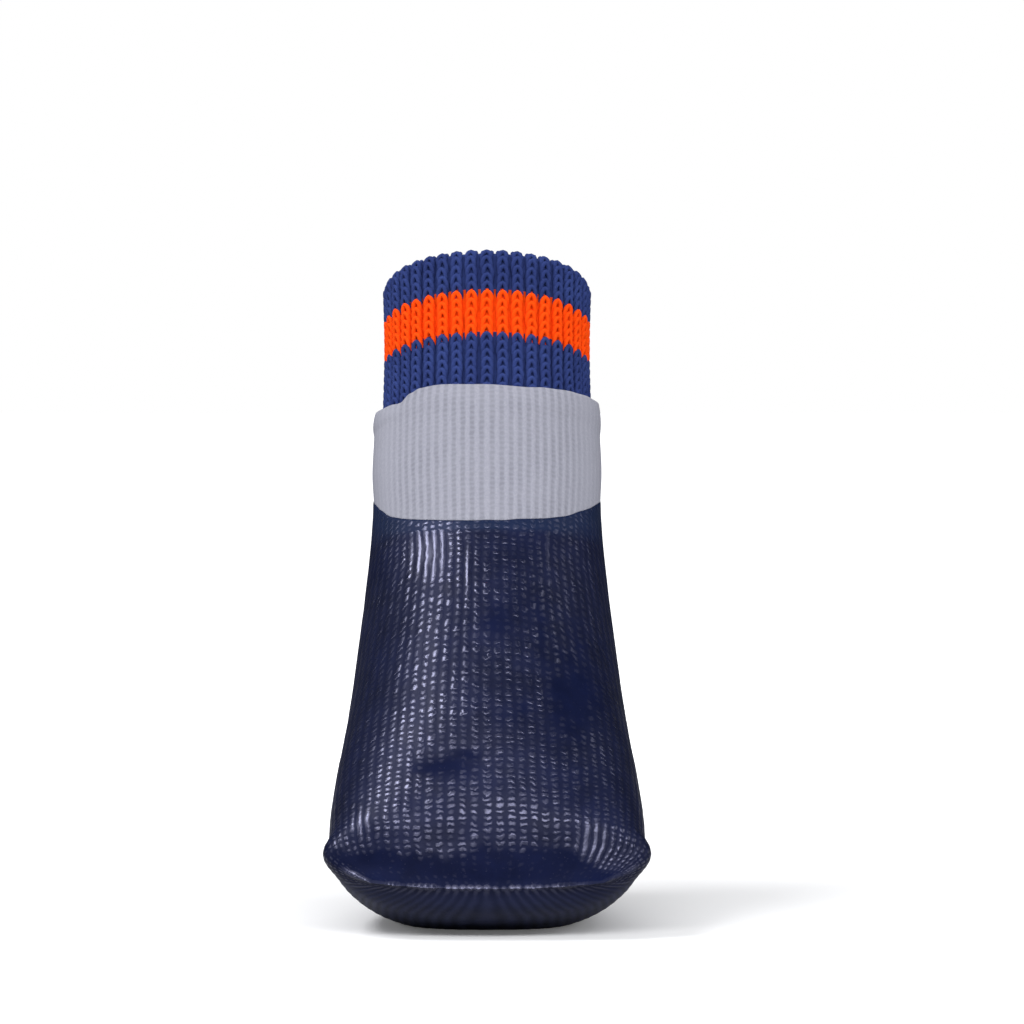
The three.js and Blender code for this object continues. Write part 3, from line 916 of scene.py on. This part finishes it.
class Nodes:
    """Short ways to add nodes and links to a tree."""

    def __init__(self, tree):
        self.tree = tree

    def add(self, kind, **values):
        node = self.tree.nodes.new(kind)
        for key, value in values.items():
            setattr(node, key, value)
        return node

    def link(self, source, target):
        self.tree.links.new(source, target)

    def maths(self, operation, *inputs):
        node = self.add("ShaderNodeMath", operation=operation)
        for socket, value in zip(node.inputs, inputs):
            if isinstance(value, (int, float)):
                socket.default_value = value
            else:
                self.link(value, socket)
        return node.outputs[0]

    def noise(self, scale, detail=2.0, roughness=0.5):
        node = self.add("ShaderNodeTexNoise")
        node.inputs["Scale"].default_value = scale
        node.inputs["Detail"].default_value = detail
        node.inputs["Roughness"].default_value = roughness
        self.link(self.add("ShaderNodeTexCoord").outputs["Object"], node.inputs["Vector"])
        return node.outputs["Fac"]

    def mix(self, share, one, two):
        node = self.add("ShaderNodeMix", data_type="RGBA")
        self.set(node.inputs[0], share)
        self.set(node.inputs[6], one)
        self.set(node.inputs[7], two)
        return node.outputs[2]

    def attribute(self, name):
        return self.add("ShaderNodeAttribute", attribute_name=name).outputs["Fac"]

    def wave(self, value):
        """A smooth wave from 0 to 1, at its top where the value is a whole number."""
        turn = self.maths("MULTIPLY", value, 2 * math.pi)
        return self.maths("MULTIPLY_ADD", self.maths("COSINE", turn), 0.5, 0.5)

    def set(self, socket, value):
        if isinstance(value, bpy.types.NodeSocket):
            self.link(value, socket)
        else:
            socket.default_value = value

    def ramp(self, value, low, high, from_value=0.0, to_value=1.0):
        node = self.add("ShaderNodeMapRange")
        limits = {"From Min": low, "From Max": high, "To Min": from_value, "To Max": to_value}
        for name, number in limits.items():
            node.inputs[name].default_value = number
        self.link(value, node.inputs["Value"])
        return node.outputs["Result"]

    def bump(self, height, strength, distance):
        node = self.add("ShaderNodeBump")
        node.inputs["Strength"].default_value = strength
        node.inputs["Distance"].default_value = distance
        self.link(height, node.inputs["Height"])
        self.link(node.outputs["Normal"], self.shader.inputs["Normal"])

    def knit_place(self):
        """Wale and course numbers of a piece, from its own UV map."""
        uv = self.add("ShaderNodeUVMap", uv_map="knit")
        split = self.add("ShaderNodeSeparateXYZ")
        self.link(uv.outputs["UV"], split.inputs[0])
        return split.outputs["X"], split.outputs["Y"]

    def group(self, tree, **inputs):
        node = self.add("ShaderNodeGroup", node_tree=tree)
        for name, value in inputs.items():
            self.set(node.inputs[name], value)
        return node.outputs


def new_material(name):
    material = bpy.data.materials.new(name)
    material.use_nodes = True
    make = Nodes(material.node_tree)
    make.material = material
    make.shader = make.tree.nodes["Principled BSDF"]
    return make


def new_group(name, inputs, outputs):
    """A shader group with values in and out."""
    tree = bpy.data.node_groups.new(name, "ShaderNodeTree")
    for socket in inputs:
        tree.interface.new_socket(socket, in_out="INPUT", socket_type="NodeSocketFloat")
    for socket in outputs:
        tree.interface.new_socket(socket, in_out="OUTPUT", socket_type="NodeSocketFloat")
    make = Nodes(tree)
    return make, make.add("NodeGroupInput").outputs, make.add("NodeGroupOutput").inputs


def fibre_group():
    """Fine fibres of yarn, and slow changes of tone."""
    make, _, results = new_group("yarn fibre", (), ("Fibre", "Tone"))
    make.link(make.noise(2800, 3, 0.6), results["Fibre"])
    make.link(make.noise(190, 2), results["Tone"])
    return make.tree


def stitch_group():
    """Wale ridges and the stitches on them, from wale and course numbers, with a wander off the straight."""
    make, given, results = new_group(
        "knit pattern", ("Wale", "Course", "Wander"), ("Ridge", "Stitch", "Chance", "Lump")
    )
    lump = make.noise(640, 2, 0.6)
    wander = make.maths("MULTIPLY", make.maths("SUBTRACT", lump, 0.5), given["Wander"])
    wale = make.maths("MULTIPLY_ADD", wander, 0.3, given["Wale"])
    course = make.maths("ADD", wander, given["Course"])
    cell = make.add("ShaderNodeCombineXYZ")
    make.link(make.maths("ROUND", wale), cell.inputs[0])
    make.link(make.maths("ROUND", course), cell.inputs[1])
    chance = make.add("ShaderNodeTexWhiteNoise", noise_dimensions="3D")
    make.link(cell.outputs[0], chance.inputs["Vector"])
    make.link(make.wave(wale), results["Ridge"])
    make.link(make.wave(course), results["Stitch"])
    make.link(chance.outputs["Value"], results["Chance"])
    make.link(lump, results["Lump"])
    return make.tree


fibre_nodes = fibre_group()
stitch_nodes = stitch_group()


def rib_yarn():
    """Blue rib yarn with one orange stripe, set by the course number."""
    make = new_material("rib yarn")
    stripe_middle = STRIPE_TOP_COURSE + STRIPE_COURSES / 2
    away = make.maths("ABSOLUTE", make.maths("SUBTRACT", make.attribute("course"), stripe_middle))
    stripe = make.maths("LESS_THAN", away, STRIPE_COURSES / 2)
    yarn = make.group(fibre_nodes)
    blue = make.mix(yarn["Fibre"], srgb(38, 50, 99), srgb(55, 71, 129))
    orange = make.mix(yarn["Fibre"], srgb(230, 57, 5), srgb(242, 86, 14))
    blue = make.mix(make.ramp(yarn["Tone"], 0.3, 0.7, 0.0, 0.4), blue, srgb(24, 32, 76))
    colour = make.mix(stripe, blue, orange)
    make.link(colour, make.shader.inputs["Base Color"])
    make.shader.inputs["Roughness"].default_value = 0.95
    make.shader.inputs["Specular IOR Level"].default_value = 0.08
    make.bump(yarn["Fibre"], 0.7, 0.0001)
    return make.material


def grey_knit():
    """Fine grey knit: narrow pale wales with small ladder steps between them. The pale wales are painted
    light, and the darker grooves and steps between them are painted shade.
    """
    make = new_material("grey knit")
    wale, course = make.knit_place()
    clear = make.attribute("knit_clear")
    yarn = make.group(fibre_nodes)
    knit = make.group(stitch_nodes, Wale=wale, Course=course, Wander=1.0)
    # One grey yarn: pale is it with painted light on the wales, shade is painted shade in the grooves and
    # steps between them.
    pale = make.mix(yarn["Fibre"], srgb(131, 132, 144), srgb(158, 159, 171))
    shade = make.mix(make.ramp(yarn["Tone"], 0.3, 0.7), srgb(119, 120, 131), srgb(130, 131, 142))
    between = make.mix(make.ramp(knit["Stitch"], 0.0, 1.0, 0.15, 0.5), shade, pale)
    middle = make.mix(yarn["Fibre"], srgb(139, 140, 152), srgb(159, 160, 172))
    lines = make.mix(make.ramp(knit["Ridge"], 0.2, 0.8), between, pale)
    make.link(make.mix(clear, middle, lines), make.shader.inputs["Base Color"])
    make.shader.inputs["Roughness"].default_value = 0.95
    make.shader.inputs["Specular IOR Level"].default_value = 0.08
    ladder = make.maths("MULTIPLY", make.maths("MULTIPLY", knit["Stitch"], clear), 0.4)
    make.bump(make.maths("ADD", ladder, yarn["Fibre"]), 0.6, 0.00006)
    return make.material


def navy_rubber():
    """Glossy navy rubber over the stitches, which show as small domes where it lies thin."""
    make = new_material("navy rubber")
    wale, course = make.knit_place()
    shows = make.attribute("knit_shows")
    thin = make.attribute("thin_rubber")
    under = make.attribute("underside")
    knit = make.group(stitch_nodes, Wale=wale, Course=course, Wander=1.5)
    patch = make.noise(190, 3, 0.6)
    grain = make.noise(2400, 2, 0.6)
    runs = make.attribute("wales_run")
    run = make.ramp(make.maths("MULTIPLY_ADD", under, 4.0, runs), 0.25, 0.7)
    stitch = make.maths("MAXIMUM", make.ramp(knit["Stitch"], 0.05, 0.75), run)
    size = make.maths("MAXIMUM", make.ramp(knit["Chance"], 0.0, 1.0, 0.25, 1.15), run)
    dome = make.maths("MULTIPLY", make.maths("MULTIPLY", knit["Ridge"], stitch), size)
    dome = make.maths("MAXIMUM", dome, make.ramp(runs, 0.6, 1.0, 0.0, 0.24))
    dome = make.maths("MULTIPLY", dome, make.maths("MULTIPLY", shows, make.ramp(under, 0.0, 0.3, 1.0, 0.3)))
    height = make.maths("MULTIPLY_ADD", grain, 0.10, dome)
    height = make.maths("MULTIPLY_ADD", knit["Lump"], 0.18, height)
    make.bump(height, 1.0, 0.00008)
    navy = make.mix(make.ramp(patch, 0.3, 0.7), srgb(9, 15, 40), srgb(14, 21, 52))
    beneath = make.mix(knit["Ridge"], srgb(40, 45, 68), srgb(58, 63, 92))
    navy = make.mix(make.maths("MULTIPLY", under, 0.8), navy, beneath)
    navy = make.mix(make.maths("MULTIPLY", thin, 0.45), navy, srgb(28, 44, 74))
    make.link(navy, make.shader.inputs["Base Color"])
    uneven = make.maths("MULTIPLY_ADD", patch, 0.5, make.maths("MULTIPLY", grain, 0.5))
    gloss = make.maths("MULTIPLY", make.ramp(dome, 0.03, 0.42), make.ramp(under, 0.0, 0.6, 1.0, 0.0))
    gloss = make.maths("MAXIMUM", gloss, make.ramp(make.attribute("seam_crest"), 0.05, 0.2))
    gloss = make.maths("MAXIMUM", gloss, make.maths("MULTIPLY", shows, 0.20))
    gloss = make.maths("MAXIMUM", gloss, make.ramp(grain, 0.66, 0.74, 0.0, 0.25))
    rough = make.maths("ADD", make.ramp(gloss, 0.0, 1.0, 0.2, 0.0), make.ramp(uneven, 0.3, 0.7, 0.26, 0.38))
    make.link(rough, make.shader.inputs["Roughness"])
    make.link(make.ramp(gloss, 0.0, 1.0, 0.03, 0.95), make.shader.inputs["Specular IOR Level"])
    make.shader.inputs["IOR"].default_value = 1.6
    make.shader.inputs["Specular Tint"].default_value = (0.68, 0.69, 1.0, 1)
    return make.material


# Pieces


def dress(piece, material, slot, *nodes):
    piece.data.materials.clear()
    piece.data.materials.append(material)
    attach(piece, "root")
    if nodes:
        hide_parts(*nodes)


yarn = rib_yarn()
dress(ribbed_shell(), yarn, "rib_knit", "rib_cuff")
dress(rib_stitches(yarn), yarn, "rib_knit")
dress(knit_sock(), grey_knit(), "grey_knit", "knit_sock")
dress(rubber_coat(), navy_rubber(), "dipped_rubber", "rubber_coat")


# Floor, light and camera


FLOOR_HALF = 6.0
# How strongly the world lights the boot, and how strongly it shows in reflections
WORLD_LIGHT = 0.40
WORLD_REFLECTED = 0.05


def floor():
    """White, and lit by itself towards the distance, so that it has no edge."""
    mesh = bpy.data.meshes.new("floor")
    corners = [(x * FLOOR_HALF, y * FLOOR_HALF, 0) for x, y in ((-1, -1), (1, -1), (1, 1), (-1, 1))]
    mesh.from_pydata(corners, [], [(0, 1, 2, 3)])
    piece = bpy.data.objects.new("floor", mesh)
    bpy.context.scene.collection.objects.link(piece)
    make = new_material("white floor")
    seen = make.add("ShaderNodeLightPath").outputs["Is Camera Ray"]
    make.link(make.mix(seen, (0.35, 0.35, 0.36, 1), (0.86, 0.865, 0.88, 1)), make.shader.inputs["Base Color"])
    make.shader.inputs["Roughness"].default_value = 0.9
    make.shader.inputs["Specular IOR Level"].default_value = 0.0
    distance = make.add("ShaderNodeVectorMath", operation="LENGTH")
    make.link(make.add("ShaderNodeTexCoord").outputs["Object"], distance.inputs[0])
    # The floor glows only weakly near the boot: a painted soft shadow round it, added to the lights' own
    # shadows.
    glow = make.ramp(distance.outputs["Value"], 0.05, 0.28, 0.08, 1.0)
    make.link(make.maths("MULTIPLY", glow, seen), make.shader.inputs["Emission Strength"])
    make.shader.inputs["Emission Color"].default_value = (1, 1, 1, 1)
    mesh.materials.append(make.material)


def soft_light(name, place, target, size, power, glossy):
    data = bpy.data.lights.new(name, "AREA")
    data.shape = "RECTANGLE"
    data.size, data.size_y = size
    data.energy = power
    light = bpy.data.objects.new(name, data)
    light.location = place
    light.rotation_euler = (Vector(target) - Vector(place)).to_track_quat("-Z", "Y").to_euler()
    light.visible_glossy = glossy
    bpy.context.scene.collection.objects.link(light)


def studio_world():
    """White behind the boot, dimmer where it lights the boot, and almost dark in its reflections."""
    world = bpy.data.worlds.new("studio")
    world.use_nodes = True
    tree = world.node_tree
    background = tree.nodes["Background"]
    path = tree.nodes.new("ShaderNodeLightPath")
    lit = tree.nodes.new("ShaderNodeMapRange")
    lit.inputs["To Min"].default_value = WORLD_LIGHT
    lit.inputs["To Max"].default_value = WORLD_REFLECTED
    tree.links.new(path.outputs["Is Glossy Ray"], lit.inputs["Value"])
    seen = tree.nodes.new("ShaderNodeMath")
    seen.operation = "MAXIMUM"
    tree.links.new(path.outputs["Is Camera Ray"], seen.inputs[0])
    tree.links.new(lit.outputs["Result"], seen.inputs[1])
    tree.links.new(seen.outputs[0], background.inputs["Strength"])
    background.inputs["Color"].default_value = (1, 1, 1, 1)
    bpy.context.scene.world = world


# The photograph's camera: distance and elevation from the floor under the ball of the foot,
# and that point's place in the frame of 1024 pixels
CAMERA_DISTANCE = 750 * MM
CAMERA_ELEVATION = math.radians(6.83)
FRAME_PIXELS = 1024
BALL_PIXEL = (487, 923)
PIXELS_PER_METRE = 6390
BALL_FROM_TOE = 21 * MM


def photo_camera():
    aim = Vector((0, TOE_Y + BALL_FROM_TOE, 0))
    ahead = Vector((0, math.cos(CAMERA_ELEVATION), -math.sin(CAMERA_ELEVATION)))
    up = Vector((0, math.sin(CAMERA_ELEVATION), math.cos(CAMERA_ELEVATION)))
    right = Vector((1, 0, 0))
    focal = PIXELS_PER_METRE * CAMERA_DISTANCE
    across = (FRAME_PIXELS / 2 - BALL_PIXEL[0]) / focal
    rise = (BALL_PIXEL[1] - FRAME_PIXELS / 2) / focal
    direction = ahead + right * across + up * rise
    data = bpy.data.cameras.new("photo camera")
    data.sensor_width = 36
    data.lens = data.sensor_width * focal * direction.length / FRAME_PIXELS
    data.clip_start, data.clip_end = 0.05, 20
    camera = bpy.data.objects.new("photo camera", data)
    camera.location = aim - ahead * CAMERA_DISTANCE
    camera.rotation_euler = direction.to_track_quat("-Z", "Y").to_euler()
    bpy.context.scene.collection.objects.link(camera)
    bpy.context.scene.camera = camera


LIGHTS = (
    # name, place in metres, width, height, power, whether it is seen in reflections
    ("key", (-0.55, -0.12, 0.83), 0.34, 0.34, 5.0, True),
    ("front", (0.0, -0.76, 0.65), 1.20, 0.28, 8.0, True),
    ("left", (-0.90, -0.10, 0.42), 0.40, 0.22, 1.2, True),
    ("right", (0.90, -0.05, 0.42), 0.30, 0.16, 0.8, True),
    ("right high", (0.66, 0.10, 0.74), 0.10, 0.20, 0.3, True),
    ("right fill", (0.85, -0.40, 0.35), 0.60, 0.60, 2.5, False),
)
LIGHTS_AIM = (0, 0, 0.04)

floor()
for name, place, width, height, power, glossy in LIGHTS:
    soft_light(name, place, LIGHTS_AIM, (width, height), power, glossy)
studio_world()
photo_camera()
bpy.context.scene.view_settings.view_transform = "Standard"
